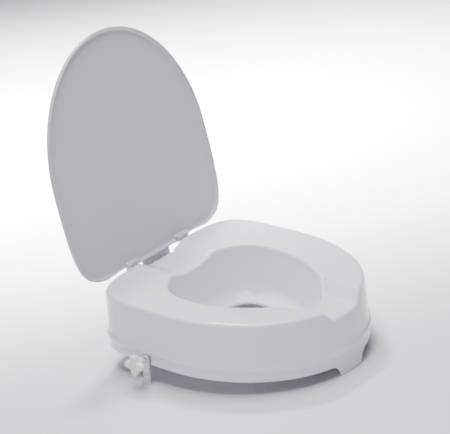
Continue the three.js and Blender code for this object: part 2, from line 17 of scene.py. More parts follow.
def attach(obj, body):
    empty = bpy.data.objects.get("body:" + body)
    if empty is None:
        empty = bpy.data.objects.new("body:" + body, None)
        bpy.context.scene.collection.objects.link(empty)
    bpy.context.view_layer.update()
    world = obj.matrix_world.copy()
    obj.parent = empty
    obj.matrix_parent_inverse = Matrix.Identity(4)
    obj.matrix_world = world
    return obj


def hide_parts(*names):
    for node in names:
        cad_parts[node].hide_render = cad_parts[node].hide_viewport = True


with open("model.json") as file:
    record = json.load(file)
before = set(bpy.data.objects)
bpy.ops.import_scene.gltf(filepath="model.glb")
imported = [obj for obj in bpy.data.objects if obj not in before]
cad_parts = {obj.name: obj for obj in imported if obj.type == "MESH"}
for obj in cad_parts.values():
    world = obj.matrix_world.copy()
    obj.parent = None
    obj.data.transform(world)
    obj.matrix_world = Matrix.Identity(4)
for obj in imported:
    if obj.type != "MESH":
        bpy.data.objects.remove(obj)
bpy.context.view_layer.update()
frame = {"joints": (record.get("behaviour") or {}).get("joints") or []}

MM = 0.001
SIDES = {"left": 1, "right": -1}
SMOOTH_ANGLE = 38.0      # degrees; edges sharper than this stay sharp
ROUND_ANGLE = 30.0       # degrees; edges sharper than this get rounded

# ---------------------------------------------------------------- dimensions
#
# Every dimension that drives the CAD has the same value here, apart from SEAT's lip_inset and LID's
# rear_power. Those two, and the shapes of the bead, the funnel's bend and the recess slopes below, follow
# the photo more closely than the CAD does.

SEAT = {
    "height": 98.5,
    "wall": 3.6,
    "outer_edge": 7.0,
    "inner_edge": 6.0,
    "dish": 5.0,
    "flare_front": 5.0,
    "flare_rear": 1.0,
    "bend_inset": 17.0,
    "bend_z": 16.0,
    "lip_inset": 37.5,
}
OUTLINE = {"half": 181.0, "front": 221.0, "rear": 169.5, "centre_y": -5.5,
           "front_power": 2.0, "rear_power": 5.3}
APERTURE = {"half": 111.0, "front": 164.0, "rear": 88.5, "centre_y": 3.5,
            "front_power": 1.8, "rear_power": 2.6}
FRONT_RECESS = {"depth": 18.5, "floor_outer": 30.0, "crest_outer": 52.0,
                "floor_inner": 38.0, "crest_inner": 64.0, "inner_y": -133.0, "outer_y": -209.0}
REAR_RECESS = {"depth": 13.5, "floor_outer": 28.0, "crest_outer": 60.0,
               "floor_inner": 18.0, "crest_inner": 58.0, "inner_y": 92.0, "outer_y": 150.0}
LUG = {"drop": 19.5, "bottom_half": 27.0, "top_half": 45.0}
LID = {
    "lean": 11.8,
    "half": 186.5,
    "centre_y": -161.0,
    "tip_reach": 225.0,
    "rear_reach": 196.5,
    "front_power": 2.0,
    "rear_power": 4.1,
    "corner_power": 14,
    "rear_y": 7.2,
    "rim_plane": -0.6,
    "depth": 9.7,
    "dome": 5.0,
    "wall": 2.8,
    "edge": 5.0,
    "inner_edge": 5.0,
}
HINGE = {"y": 167.0, "z": 99.4, "pin": 2.0, "ear": 5.0, "knuckle": 4.8}
CLAMP = {"y": 42.5, "z": 11.0, "arm_inner": 184.5, "arm_outer": 190.5, "arm_width": 12.0,
         "arm_bottom": -35.0, "arm_top": 16.3, "stud": 3.2, "bore": 3.5, "pitch": 2.5}
SCREWS = ((68.0, 70.0), (86.0, 78.0))    # X and Z of the two screws in each hinge bracket

hinge_joint = next(joint for joint in frame["joints"] if joint["name"] == "lid_hinge")
ORIGIN = Vector(hinge_joint["pos_m"]) - Vector((0, HINGE["y"], HINGE["z"])) * MM


# ---------------------------------------------------------------- mesh helpers

def build(name, points, faces, smooth_angle=SMOOTH_ANGLE):
    """A mesh object from points in drawing millimetres. Edges sharper than smooth_angle stay sharp."""
    mesh = bpy.data.meshes.new(name)
    placed = np.asarray(points, float) * MM + np.array(ORIGIN)
    mesh.from_pydata([tuple(p) for p in placed], [], faces)
    mesh.validate()
    piece = bpy.data.objects.new(name, mesh)
    bpy.context.scene.collection.objects.link(piece)
    finish_shading(piece, smooth_angle)
    return piece


def finish_shading(piece, smooth_angle):
    """Turn the faces outwards and shade them smooth except across sharp edges."""
    work = bmesh.new()
    work.from_mesh(piece.data)
    bmesh.ops.recalc_face_normals(work, faces=work.faces)
    work.to_mesh(piece.data)
    work.free()
    piece.data.shade_smooth()
    piece.data.set_sharp_from_angle(angle=math.radians(smooth_angle))


def sweep_faces(steps, count):
    """Quads between neighbouring sections of a ring of closed sections."""
    faces = []
    for i in range(steps):
        j = (i + 1) % steps
        for k in range(count):
            m = (k + 1) % count
            faces.append((i * count + k, j * count + k, j * count + m, i * count + m))
    return faces


def swept_ring(name, sections):
    """A closed ring whose sections are themselves closed loops."""
    steps, count = len(sections), len(sections[0])
    points = [point for section in sections for point in section]
    return build(name, points, sweep_faces(steps, count))


def prism_faces(count):
    """Both ends and the sides between two outlines of count points each."""
    faces = [tuple(range(count)), tuple(range(2 * count - 1, count - 1, -1))]
    faces += [(k, (k + 1) % count, count + (k + 1) % count, count + k) for k in range(count)]
    return faces


def lathe(name, profile, place, direction, segments=48):
    """Turn a profile of (radius, distance) about an axis through place. Ends at radius 0 are closed.

    A profile that ends where it starts is a tube, and the wall of its bore is left open.
    """
    forward = Vector(direction).normalized()
    side = forward.orthogonal().normalized()
    other = forward.cross(side)
    points, faces, rings = [], [], []
    for radius, along in profile:
        centre = Vector(place) + forward * along
        if radius == 0:
            rings.append([len(points)])
            points.append(centre)
            continue
        rings.append(list(range(len(points), len(points) + segments)))
        for i in range(segments):
            turn = 2 * math.pi * i / segments
            points.append(centre + (side * math.cos(turn) + other * math.sin(turn)) * radius)
    for first, second in zip(rings, rings[1:]):
        for i in range(segments):
            j = (i + 1) % segments
            corners = [first[i % len(first)], first[j % len(first)],
                       second[j % len(second)], second[i % len(second)]]
            faces.append(tuple(dict.fromkeys(corners)))
    if profile[0] == profile[-1]:
        del faces[-segments:]
    return build(name, points, [face for face in faces if len(face) > 2])


def extruded(name, outline, low, high, bevel, segments=3):
    """Extrude an outline of (y, z) pairs along X from low to high, and round its edges."""
    points = [(x, y, z) for x in (low, high) for y, z in outline]
    piece = build(name, points, prism_faces(len(outline)))
    round_edges(piece, bevel, segments)
    return piece


def box(name, low, high, bevel, segments=3):
    """A block with rounded edges, from one corner to the opposite one."""
    (x0, x1), (y0, y1), (z0, z1) = [sorted(pair) for pair in zip(low, high)]
    outline = [(y0, z0), (y1, z0), (y1, z1), (y0, z1)]
    return extruded(name, outline, x0, x1, bevel, segments)


def about(middle, half):
    """The span that reaches half to each side of middle."""
    return middle - half, middle + half


def side_block(name, side, block, bevel, segments=3):
    """A rounded block on one side, from its spans. across is the distance from the plane of symmetry."""
    low, high = zip(block["across"], block["along"], block["up"])
    return box(name, (side * low[0], *low[1:]), (side * high[0], *high[1:]), bevel, segments)


def round_edges(piece, width, segments):
    """Round every edge of a piece that is sharper than ROUND_ANGLE."""
    work = bmesh.new()
    work.from_mesh(piece.data)
    bmesh.ops.recalc_face_normals(work, faces=work.faces)
    sharp = math.radians(ROUND_ANGLE)
    edges = [e for e in work.edges if len(e.link_faces) == 2 and e.calc_face_angle(0) > sharp]
    bmesh.ops.bevel(work, geom=edges, offset=width * MM, segments=segments, profile=0.5,
                    affect="EDGES", clamp_overlap=True)
    work.to_mesh(piece.data)
    work.free()
    finish_shading(piece, SMOOTH_ANGLE)


def cut(piece, tools, smooth_angle=SMOOTH_ANGLE):
    """Cut tools out of a piece and remove the tools."""
    for tool in tools:
        modifier = piece.modifiers.new("cut", "BOOLEAN")
        modifier.operation = "DIFFERENCE"
        modifier.solver = "EXACT"
        modifier.object = tool
    graph = bpy.context.evaluated_depsgraph_get()
    result = bpy.data.meshes.new_from_object(piece.evaluated_get(graph))
    piece.modifiers.clear()
    piece.data = result
    for tool in tools:
        bpy.data.objects.remove(tool)
    finish_shading(piece, smooth_angle)


def joined(name, pieces):
    """Put several meshes into one object."""
    work = bmesh.new()
    for piece in pieces:
        work.from_mesh(piece.data)
        bpy.data.objects.remove(piece)
    mesh = bpy.data.meshes.new(name)
    work.to_mesh(mesh)
    work.free()
    whole = bpy.data.objects.new(name, mesh)
    bpy.context.scene.collection.objects.link(whole)
    return whole


def dress(piece, material, body, slot, *nodes):
    """Give a piece its material, its body and the CAD nodes that it stands for."""
    piece.data.materials.clear()
    piece.data.materials.append(material)
    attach(piece, body)
    if nodes:
        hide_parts(*nodes)


# ---------------------------------------------------------------- shared curves

def mix(a, b, amount):
    return a + (b - a) * amount


def smooth_step(value, low, high):
    t = min(max((value - low) / (high - low), 0.0), 1.0)
    return t * t * (3 - 2 * t)


def ramp_step(value, low, high, fillet=0.16):
    """A straight ramp from 0 to 1 with a short fillet at each end."""
    t = min(max((value - low) / (high - low), 0.0), 1.0)
    if t < fillet:
        return t ** 2 / (2 * fillet * (1 - fillet))
    if t > 1 - fillet:
        return 1 - (1 - t) ** 2 / (2 * fillet * (1 - fillet))
    return (t - fillet / 2) / (1 - fillet)


def quarter(steps):
    """Angles from pointing outwards to pointing up."""
    return [math.pi / 2 * i / steps for i in range(steps + 1)]


def plan_radius(curve, angle):
    c, s = math.cos(angle), math.sin(angle)
    power = curve["rear_power"] if s > 0 else curve["front_power"]
    reach = curve["rear"] if s > 0 else curve["front"]
    return (abs(c / curve["half"]) ** power + abs(s / reach) ** power) ** (-1 / power)


def plan_point(curve, angle, outwards=0.0):
    """A point of a plan curve, moved outwards by a distance."""
    def at(turn):
        radius = plan_radius(curve, turn)
        return np.array((radius * math.cos(turn), curve["centre_y"] + radius * math.sin(turn)))
    step = 1e-3
    tangent = at(angle + step) - at(angle - step)
    tangent /= np.hypot(*tangent)
    return at(angle) + outwards * np.array((tangent[1], -tangent[0]))


def recess_drop(x, y):
    """How far the front or the rear recess lowers the deck at a place."""
    recess = FRONT_RECESS if y < APERTURE["centre_y"] else REAR_RECESS
    along = (y - recess["inner_y"]) / (recess["outer_y"] - recess["inner_y"])
    along = min(max(along, 0.0), 1.0)
    floor_half = mix(recess["floor_inner"], recess["floor_outer"], along)
    crest_half = mix(recess["crest_inner"], recess["crest_outer"], along)
    return recess["depth"] * (1 - ramp_step(abs(x), floor_half, crest_half))


def skirt_offset(angle, z):
    """How far the skirt stands out beyond the deck's outline at a height."""
    middle = (SEAT["flare_front"] + SEAT["flare_rear"]) / 2
    swing = (SEAT["flare_front"] - SEAT["flare_rear"]) / 2
    return (middle - swing * math.sin(angle)) * (1 - z / SEAT["height"])


def deck_height(x, y, along):
    return SEAT["height"] - SEAT["dish"] * along ** 2 - recess_drop(x, y)


def foot_height(angle):
    """Height of the skirt's bottom edge: 0, and lower on the front lug."""
    x, y = plan_point(OUTLINE, angle)
    if y > 0:
        return 0.0
    fillet = (LUG["top_half"] - abs(x)) / (LUG["top_half"] - LUG["bottom_half"])
    fillet = min(max(fillet, 0.0), 1.0)
    return -LUG["drop"] * (1 - math.sqrt(1 - fillet ** 2))


def sweep_angles(steps):
    """Angles round the seat, closer together at the front and the rear."""
    turns = [2 * math.pi * i / steps for i in range(steps)]
    return [turn + 0.28 * math.sin(2 * turn) for turn in turns]


# ---------------------------------------------------------------- seat shell

# (offset, height above the foot) of the skirt's rounded bottom edge
FOOT_ROUND = ((-0.9, 0.0), (-0.25, 0.2), (0.0, 0.9))
# (offset, height) of the bead round the skirt: undercut below, nearly upright, with a soft shoulder
BEAD_PROFILE = ((0.0, 14.6), (-0.1, 15.6), (0.3, 16.2), (1.5, 16.9), (2.7, 18.2), (3.4, 20.0),
                (3.6, 22.0), (3.6, 23.8), (3.4, 25.0), (2.8, 26.1), (1.9, 27.2), (1.0, 28.3),
                (0.4, 29.4), (0.1, 30.6), (0.0, 32.0))
# The funnel's bend starts at a share of bend_inset and ends before the lip
BEND = {"start_share": 0.86, "start_rise": 10.5, "end_run": 10.5, "end_drop": 5.5}
# (distance outwards from lip_inset, height) of the funnel's rolled lip
LIP_PROFILE = ((2.2, 4.6), (0.8, 4.1), (0.2, 3.4), (0.0, 2.6), (0.0, 0.6), (0.4, 0.0))
# (share of bend_inset, rise above bend_z) of the bend's hidden side, from below
HIDDEN_BEND = ((1.12, -3), (0.96, 4))
HIDDEN_LIP = 2
# The wall's hidden top end: its offset, and how far it stops below the deck's underside
UNDER_BRINK = {"offset": 0.6, "drop": 4}
# (offset, drop) of the hidden corner between the deck and the skirt
UNDER_RIM = ((-4.0, 0.0), (-1.4, 1.2), (0.0, 4.0))
HIDDEN_FOOT = 0.6        # chamfer of the skirt's foot on its hidden side
FIFTHS = (0.2, 0.4, 0.6, 0.8)


def skirt_point(angle, offset, z):
    """A point on the skirt's outer face, moved outwards by a distance."""
    x, y = plan_point(OUTLINE, angle, offset + skirt_offset(angle, max(z, 0.0)))
    return x, y, z


def funnel_point(angle, offset, z):
    """A point beside the aperture's edge, moved outwards by a distance."""
    x, y = plan_point(APERTURE, angle, offset)
    return x, y, z


def rim_height(angle):
    """Height of the deck at its outer edge."""
    x, y = plan_point(OUTLINE, angle)
    return SEAT["height"] - recess_drop(x, y)


def skirt_section(angle):
    """The skirt from its foot over the bead to the deck's rounded outer edge."""
    foot, rim_z, edge = foot_height(angle), rim_height(angle), SEAT["outer_edge"]
    levels = [(offset, foot + rise) for offset, rise in FOOT_ROUND]
    foot_top, bead_bottom, bead_top = levels[-1][1], BEAD_PROFILE[0][1], BEAD_PROFILE[-1][1]
    levels += [(0.0, mix(foot_top, bead_bottom, along)) for along in (0.25, 0.5, 0.75)]
    levels += BEAD_PROFILE
    levels += [(0.0, mix(bead_top, rim_z - edge, along)) for along in FIFTHS]
    for turn in quarter(9):
        levels.append((edge * (math.cos(turn) - 1), rim_z + edge * (math.sin(turn) - 1)))
    return [skirt_point(angle, offset, z) for offset, z in levels]


def deck_section(angle, shares, sink=0.0):
    """The deck between its two rounded edges, at shares of the way in, or its underside."""
    start = plan_point(OUTLINE, angle, -SEAT["outer_edge"])
    end = plan_point(APERTURE, angle, SEAT["inner_edge"])
    points = []
    for along in shares:
        x, y = mix(start, end, along)
        points.append((x, y, deck_height(x, y, along) - sink))
    return points


def funnel_section(angle):
    """The deck's rounded inner edge, the aperture's wall, the bend and the rolled lip."""
    edge, bend, bend_z = SEAT["inner_edge"], SEAT["bend_inset"], SEAT["bend_z"]
    brink_x, brink_y = plan_point(APERTURE, angle)
    brink_z = deck_height(brink_x, brink_y, 1.0)
    wall_end = (BEND["start_share"] * bend, bend_z + BEND["start_rise"])
    lip_start = (bend + BEND["end_run"], bend_z - BEND["end_drop"])
    levels = []
    for turn in reversed(quarter(7)):
        levels.append((edge * (1 - math.cos(turn)), brink_z + edge * (math.sin(turn) - 1)))
    for along in FIFTHS:
        levels.append((-wall_end[0] * along, mix(brink_z - edge, wall_end[1], along)))
    for i in range(9):
        along = i / 8
        inset, z = (mix(mix(a, b, along), mix(b, c, along), along)
                    for a, b, c in zip(wall_end, (bend, bend_z), lip_start))
        levels.append((-inset, z))
    levels += [(-SEAT["lip_inset"] + offset, z) for offset, z in LIP_PROFILE]
    return [funnel_point(angle, offset, z) for offset, z in levels]


def seat_outside(angle):
    """The visible part of one upright section: skirt, bead, deck, inner wall and lip."""
    deck = deck_section(angle, [i / 16 for i in range(1, 16)])
    return skirt_section(angle) + deck + funnel_section(angle)


def seat_inside(angle):
    """The hidden part of one section, from the lip up under the deck and down inside the skirt."""
    wall, bend, bend_z = SEAT["wall"], SEAT["bend_inset"], SEAT["bend_z"]
    end_x, end_y = plan_point(APERTURE, angle, SEAT["inner_edge"])
    brink_z = deck_height(end_x, end_y, 1.0) - wall - UNDER_BRINK["drop"]
    bend_levels = [(-share * bend, bend_z + rise) for share, rise in HIDDEN_BEND]
    bend_offset, bend_top = bend_levels[-1]
    inner = [(-SEAT["lip_inset"] + HIDDEN_LIP, 0.0), *bend_levels]
    for along in (0.35, 0.7):
        inner.append((mix(bend_offset, UNDER_BRINK["offset"], along), mix(bend_top, brink_z, along)))
    inner.append((UNDER_BRINK["offset"], brink_z))
    points = [funnel_point(angle, offset + wall, z) for offset, z in inner]
    points += deck_section(angle, [1 - i / 9 for i in range(9)], wall)

    under_rim, foot = rim_height(angle) - wall, foot_height(angle)
    outer = [(offset, under_rim - drop) for offset, drop in UNDER_RIM]
    corner_z = outer[-1][1]
    outer += [(0.0, mix(corner_z, foot + HIDDEN_FOOT, along)) for along in (0.35, 0.7, 1.0)]
    outer.append((HIDDEN_FOOT, foot))
    return points + [skirt_point(angle, offset - wall, z) for offset, z in outer]


def rib(angle, thickness, foot_z):
    """An upright rib that fills the space under the deck at one angle, above foot_z."""
    hidden = [point for point in seat_inside(angle) if point[2] > foot_z]
    low_inner = (hidden[0][0], hidden[0][1], foot_z)
    low_outer = (hidden[-1][0], hidden[-1][1], foot_z)
    outline = [low_inner, *hidden, low_outer]
    run = np.array(low_outer[:2]) - np.array(low_inner[:2])
    side = np.array((-run[1], run[0])) / np.hypot(*run) * thickness / 2
    points = [(x + sign * side[0], y + sign * side[1], z) for sign in (1, -1) for x, y, z in outline]
    return build("rib", points, prism_faces(len(outline)))


# Degrees round the seat of the ribs with a rubber foot, and of the ribs without one
PADS = {"rim_pad_1": 35, "rim_pad_2": 145, "rim_pad_3": 232, "rim_pad_4": 308}
PLAIN_RIBS = (0, 70, 110, 180, 262, 278)
RIB_THICKNESS = 3.0
FOOT_Z = 3.7
FOOT_SIZE = (28, 16, 3)
PAD = {"length": 24, "width": 12, "bottom": -1.0, "top": FOOT_Z - 0.3, "share": 0.42}
ARM_NOTCH = {"across": (172.5, 200), "along": about(CLAMP["y"], CLAMP["arm_width"] / 2 + 2),
             "up": (-5, 16.8)}
NUT = {"across": (161.5, 166.5), "along": about(CLAMP["y"], 5.5), "up": about(CLAMP["z"], 5.5)}
NUT_POCKET = {"across": (161.2, 166.8), "along": about(CLAMP["y"], 5.8), "up": (-5, CLAMP["z"] + 5.8)}
NUT_BOSS = {"across": (156, 172), "along": about(CLAMP["y"], 14), "up": (3, 30)}
NUT_BRIDGE = {"across": (170, 184), "along": about(CLAMP["y"], 14), "up": (18.5, 30)}
LUG_STIFFENER = {"across": (12.5, 17.5), "along": (-215.5, -228.5), "up": (-LUG["drop"], 4)}
SCREW_BOSS = {"bore": 2.2, "radius": 4.6, "front": 150, "length": 12}


def stud_hole(side, low, high, segments):
    """A cylinder to cut the clearance for the clamp's stud."""
    radius = CLAMP["bore"]
    profile = [(0, low), (radius, low), (radius, high), (0, high)]
    return lathe("hole", profile, (0, CLAMP["y"], CLAMP["z"]), (side, 0, 0), segments)


def nut_boss(side):
    """The boss that holds the clamp's nut in an open pocket."""
    body = side_block("boss", side, NUT_BOSS, 0.8)
    pocket = side_block("pocket", side, NUT_POCKET, 0.2)
    cut(body, [pocket, stud_hole(side, 150, 180, 32)])
    return [body, side_block("bridge", side, NUT_BRIDGE, 0.8)]


def screw_boss(side, place):
    """The tube behind the rear wall that a bracket's screw bites into."""
    x, z = place
    bore, radius, length = SCREW_BOSS["bore"], SCREW_BOSS["radius"], SCREW_BOSS["length"]
    profile = [(bore, 0), (radius, 0), (radius, length), (bore, length), (bore, 0)]
    return lathe("screw_boss", profile, (side * x, SCREW_BOSS["front"], z), (0, 1, 0), 32)


def pad_place(degrees):
    """The middle of a rubber foot and the direction that it points in."""
    angle = math.radians(degrees)
    outside = plan_point(OUTLINE, angle, -SEAT["wall"])
    inside = plan_point(APERTURE, angle, -SEAT["lip_inset"] / 2)
    x, y = mix(outside, inside, PAD["share"])
    return x, y, math.atan2(y - APERTURE["centre_y"], x)


def turned_box(name, size, centre, heading, bevel):
    """A rounded block turned about the vertical."""
    half = [side / 2 for side in size]
    piece = box(name, [-side for side in half], half, bevel)
    turn = Matrix.Translation(Vector(centre) * MM + ORIGIN) @ Matrix.Rotation(heading, 4, "Z")
    piece.data.transform(turn @ Matrix.Translation(-ORIGIN))
    return piece


def make_seat(material):
    """The seat's moulding, and everything under its deck as one more piece."""
    shell = swept_ring("seat_moulding",
                       [seat_outside(angle) + seat_inside(angle) for angle in sweep_angles(320)])
    cut(shell, [side_block("notch", side, ARM_NOTCH, 1.2) for side in SIDES.values()])
    dress(shell, material, "seat", "white_seat", "seat_shell")

    turns = (*PADS.values(), *PLAIN_RIBS)
    under = [rib(math.radians(degrees), RIB_THICKNESS, FOOT_Z) for degrees in turns]
    for degrees in PADS.values():
        x, y, heading = pad_place(degrees)
        under.append(turned_box("foot", FOOT_SIZE, (x, y, FOOT_Z + FOOT_SIZE[2] / 2), heading, 0.5))
    for side in SIDES.values():
        under += nut_boss(side)
        under.append(side_block("stiffener", side, LUG_STIFFENER, 0.4))
        under += [screw_boss(side, place) for place in SCREWS]
    dress(joined("seat_underside", under), material, "seat", "white_seat")


def make_rim_pads(material):
    low, high = PAD["bottom"], PAD["top"]
    for node, degrees in PADS.items():
        x, y, heading = pad_place(degrees)
        size = (PAD["length"], PAD["width"], high - low)
        pad = turned_box(node + "_rubber", size, (x, y, (low + high) / 2), heading, 0.8)
        dress(pad, material, "seat", "rubber", node)


# ---------------------------------------------------------------- lid

TONGUE = {"half": 34.0, "front_y": -2, "rear_y": 24.0}
KNUCKLE = {"inner": 50.0, "outer": 72.0, "clearance": 0.3, "chamfer": 0.6, "flat": 3.2}
LID_NOTCH = {"across": (72.6, 122.0), "along": (2.3, 14), "up": (-8, 16)}
STOP_RIB = {"across": (10.5, 13.5), "along": (-2.4, 3.5), "up": (-24, -17)}
OPEN_TURN = math.radians(90 + LID["lean"])
LID_SMOOTH_ANGLE = 50


def lid_point(angle, inset):
    """The lid's outline as drawn closed, drawn in by a distance, with its hinge axis at y = 0."""
    c, s = math.cos(angle), math.sin(angle)
    power = LID["rear_power"] if s > 0 else LID["front_power"]
    reach = (LID["rear_reach"] if s > 0 else LID["tip_reach"]) - inset
    radius = (abs(c / (LID["half"] - inset)) ** power + abs(s / reach) ** power) ** (-1 / power)
    if s > 0:
        straight = (LID["rear_y"] - LID["centre_y"] - inset) / s
        corner = LID["corner_power"]
        radius = (radius ** -corner + straight ** -corner) ** (-1 / corner)
    return radius * c, LID["centre_y"] + radius * s


def lid_rings():
    """(scale, inset, z) of each ring, from the middle of the top to the middle of the underside."""
    top = LID["rim_plane"] + LID["depth"]
    edge, inner_edge, wall = LID["edge"], LID["inner_edge"], LID["wall"]
    rings = []
    for i in range(1, 13):
        scale = i / 12
        rings.append((scale, edge, top + LID["dome"] * (1 - scale ** 2)))
    for turn in reversed(quarter(8)[:-1]):
        rings.append((1, edge * (1 - math.cos(turn)), top + edge * (math.sin(turn) - 1)))
    rim = LID["rim_plane"]
    rings += [(1, 0, rim + 1.2), (1, 0.35, rim + 0.35), (1, 1.2, rim), (1, wall - 0.5, rim + 0.1),
              (1, wall, rim + 0.7)]
    under = top - wall
    rings.append((1, wall, mix(rim + 0.7, under - inner_edge, 0.6)))
    for turn in quarter(7):
        inset = wall + inner_edge * (1 - math.cos(turn))
        rings.append((1, inset, under + inner_edge * (math.sin(turn) - 1)))
    for i in range(1, 12):
        scale = 1 - i / 12
        rings.append((scale, wall + inner_edge, under + LID["dome"] * (1 - scale ** 2)))
    return rings


def lid_skin():
    """The lid's plate and rim, drawn closed about the hinge axis."""
    steps = 240
    top = LID["rim_plane"] + LID["depth"]
    points = [(0, LID["centre_y"], top + LID["dome"])]
    rings = lid_rings()
    for scale, inset, z in rings:
        for i in range(steps):
            x, y = lid_point(2 * math.pi * i / steps, inset)
            points.append((x * scale, LID["centre_y"] + (y - LID["centre_y"]) * scale, z))
    points.append((0, LID["centre_y"], top - LID["wall"] + LID["dome"]))
    last = len(points) - 1
    faces = []
    for i in range(steps):
        j = (i + 1) % steps
        faces.append((0, 1 + i, 1 + j))
        for k in range(len(rings) - 1):
            a, b = 1 + k * steps, 1 + (k + 1) * steps
            faces.append((a + i, b + i, b + j, a + j))
        faces.append((last, 1 + (len(rings) - 1) * steps + j, 1 + (len(rings) - 1) * steps + i))
    return build("lid_skin", points, faces, LID_SMOOTH_ANGLE)


def lid_tongue():
    """The tongue that hangs behind the seat, with the two ribs that stop the lid."""
    top = LID["rim_plane"] + LID["depth"]
    plate = box("tongue", (-TONGUE["half"], TONGUE["front_y"], top - LID["wall"]),
                (TONGUE["half"], TONGUE["rear_y"], top), 1.0)
    to_axis = Matrix.Translation(-ORIGIN)
    ribs = []
    for side in SIDES.values():
        stop = side_block("stop", side, STOP_RIB, 0.4)
        stop.data.transform(to_axis.inverted() @ Matrix.Rotation(OPEN_TURN, 4, "X") @ to_axis)
        ribs.append(stop)
    return [plate, *ribs]


def lid_knuckle(side):
    """One of the lid's two hinge knuckles, with the two blocks that join it to the lid."""
    low, high = KNUCKLE["inner"], KNUCKLE["outer"]
    outer, bore = HINGE["knuckle"], HINGE["pin"] + KNUCKLE["clearance"]
    chamfer, flat = KNUCKLE["chamfer"], KNUCKLE["flat"]
    profile = [(bore, low), (outer - chamfer, low), (outer, low + chamfer), (outer, high - chamfer),
               (outer - chamfer, high), (bore, high), (bore, low)]
    tube = lathe("knuckle", profile, (0, 0, 0), (side, 0, 0), 40)
    web = {"across": (low, high), "along": (-outer + chamfer, LID["rear_y"] - 1), "up": (flat, 8.5)}
    back = {"across": (low, high), "along": (flat, LID["rear_y"]), "up": (LID["rim_plane"], 6)}
    return [tube, side_block("web", side, web, 0.8), side_block("back", side, back, 0.8)]


def make_lid(material):
    skin = lid_skin()
    notches = [side_block("notch", side, LID_NOTCH, 1.0) for side in SIDES.values()]
    cut(skin, notches, LID_SMOOTH_ANGLE)
    parts = [skin, *lid_tongue()]
    for side in SIDES.values():
        parts += lid_knuckle(side)
    lid = joined("lid_moulding", parts)
    to_hinge = Vector((0, HINGE["y"], HINGE["z"])) * MM + ORIGIN
    opened = Matrix.Translation(to_hinge) @ Matrix.Rotation(-OPEN_TURN, 4, "X")
    lid.data.transform(opened @ Matrix.Translation(-ORIGIN))
    dress(lid, material, "lid", "white_lid", "lid")


# ---------------------------------------------------------------- hinge

BRACKET = {"across": (63.0, 92.0), "up": (64.0, 87.0), "front": 164.6, "thickness": 3.2}
EAR = {"inner": 73.0, "outer": 77.0, "bottom": 68, "drop": 6, "swell": 1.5, "bore": 2.3}
PIN_START = 49
SCREW = {"core": 1.5, "crest": 2.0, "length": 13, "thread_step": 1.2, "slot": (2.0, 0.42)}


def arc(centre, radius, start, end, steps):
    """Points of an arc in the Y-Z plane."""
    turns = [mix(start, end, i / steps) for i in range(steps + 1)]
    return [(centre[0] + radius * math.cos(t), centre[1] + radius * math.sin(t)) for t in turns]


def make_bracket(name, side, material):
    """A plate screwed to the rear wall, with an upright ear that holds the pin."""
    front, back = BRACKET["front"], BRACKET["front"] + BRACKET["thickness"]
    plate = side_block("plate", side, {**BRACKET, "along": (front, back)}, 1.0)
    outline = [(front, EAR["bottom"]), (back, EAR["bottom"]), (back + EAR["swell"], BRACKET["up"][1])]
    outline += arc((HINGE["y"], HINGE["z"]), HINGE["ear"], -math.pi / 4, math.pi, 24)
    outline.append((front, HINGE["z"] - EAR["drop"]))
    ear = extruded("ear", outline, *sorted((side * EAR["inner"], side * EAR["outer"])), 0.5)
    low, high, bore = EAR["inner"] - 3, EAR["outer"] + 3, EAR["bore"]
    cut(ear, [lathe("hole", [(0, low), (bore, low), (bore, high), (0, high)],
                    (0, HINGE["y"], HINGE["z"]), (side, 0, 0), 32)])
    bracket = joined(f"hinge_bracket_{name}_moulding", [plate, ear])
    dress(bracket, material, "seat", "white_seat", f"hinge_bracket_{name}")


def make_pin(name, side, material):
    """A hinge pin with a flat, softly rounded head."""
    start, head, radius = PIN_START, EAR["outer"] + 0.3, HINGE["pin"]
    profile = [(0, start), (radius - 0.4, start), (radius, start + 0.4), (radius, head),
               (radius + 1.0, head), (radius + 1.4, head + 0.3), (radius + 1.4, head + 1.0),
               (radius + 0.9, head + 1.4), (0, head + 1.4)]
    pin = lathe(f"hinge_pin_{name}_steel", profile, (0, HINGE["y"], HINGE["z"]), (side, 0, 0))
    dress(pin, material, "seat", "steel", f"hinge_pin_{name}")


def make_screw(name, number, side, place, material):
    """A pan-head screw with a cross recess."""
    x, z = place
    head = BRACKET["front"] + BRACKET["thickness"] + 0.3
    tip, core, crest = head - SCREW["length"], SCREW["core"], SCREW["crest"]
    profile = [(0, tip), (0.9, tip + 0.4)]
    along = tip + 2
    while along < head - 1.4:
        profile += [(core, along), (crest, along + 0.45), (core, along + 0.9)]
        along += SCREW["thread_step"]
    profile += [(crest, head - 0.1), (crest, head), (3.5, head), (3.8, head + 0.3), (3.75, head + 0.9),
                (3.1, head + 1.7), (1.8, head + 2.15), (0, head + 2.2)]
    screw = lathe("screw", profile, (side * x, 0, z), (0, 1, 0), 36)
    blades = []
    for wide, high in (SCREW["slot"], SCREW["slot"][::-1]):
        blades.append(box("blade", (side * x - wide, head + 0.9, z - high),
                          (side * x + wide, head + 4, z + high), 0.1, 1))
    cut(screw, blades)
    screw.name = f"hinge_screw_{name}_{number}_steel"
    dress(screw, material, "seat", "steel", f"hinge_screw_{name}_{number}")


# ---------------------------------------------------------------- clamps

ARM = {"corner": 4, "taper": 0.5, "plate_step": 1, "ridge_depth": 2, "ridge_half": 0.9,
       "ridge_drop": 12}
GRIP = {"gap": 0.3, "thickness": 3, "half": 5, "up": (-32, -6)}
GROOVE = {"count": 8, "start": -30, "step": 3.15, "width": 1.1, "depth": 0.8, "half": 9}
KNOB = {"inner": 208.5, "outer": 218.5, "round": 2.6, "waist": 9.5, "lobe": 18.5, "lobes": 4, "hollow": 7.5}
# (share of the outline, depth) of the rings that dish the knob's outer face
KNOB_DISH = ((0.72, 0.0), (0.5, 0.5), (0.3, 0.9), (0.12, 1.0))
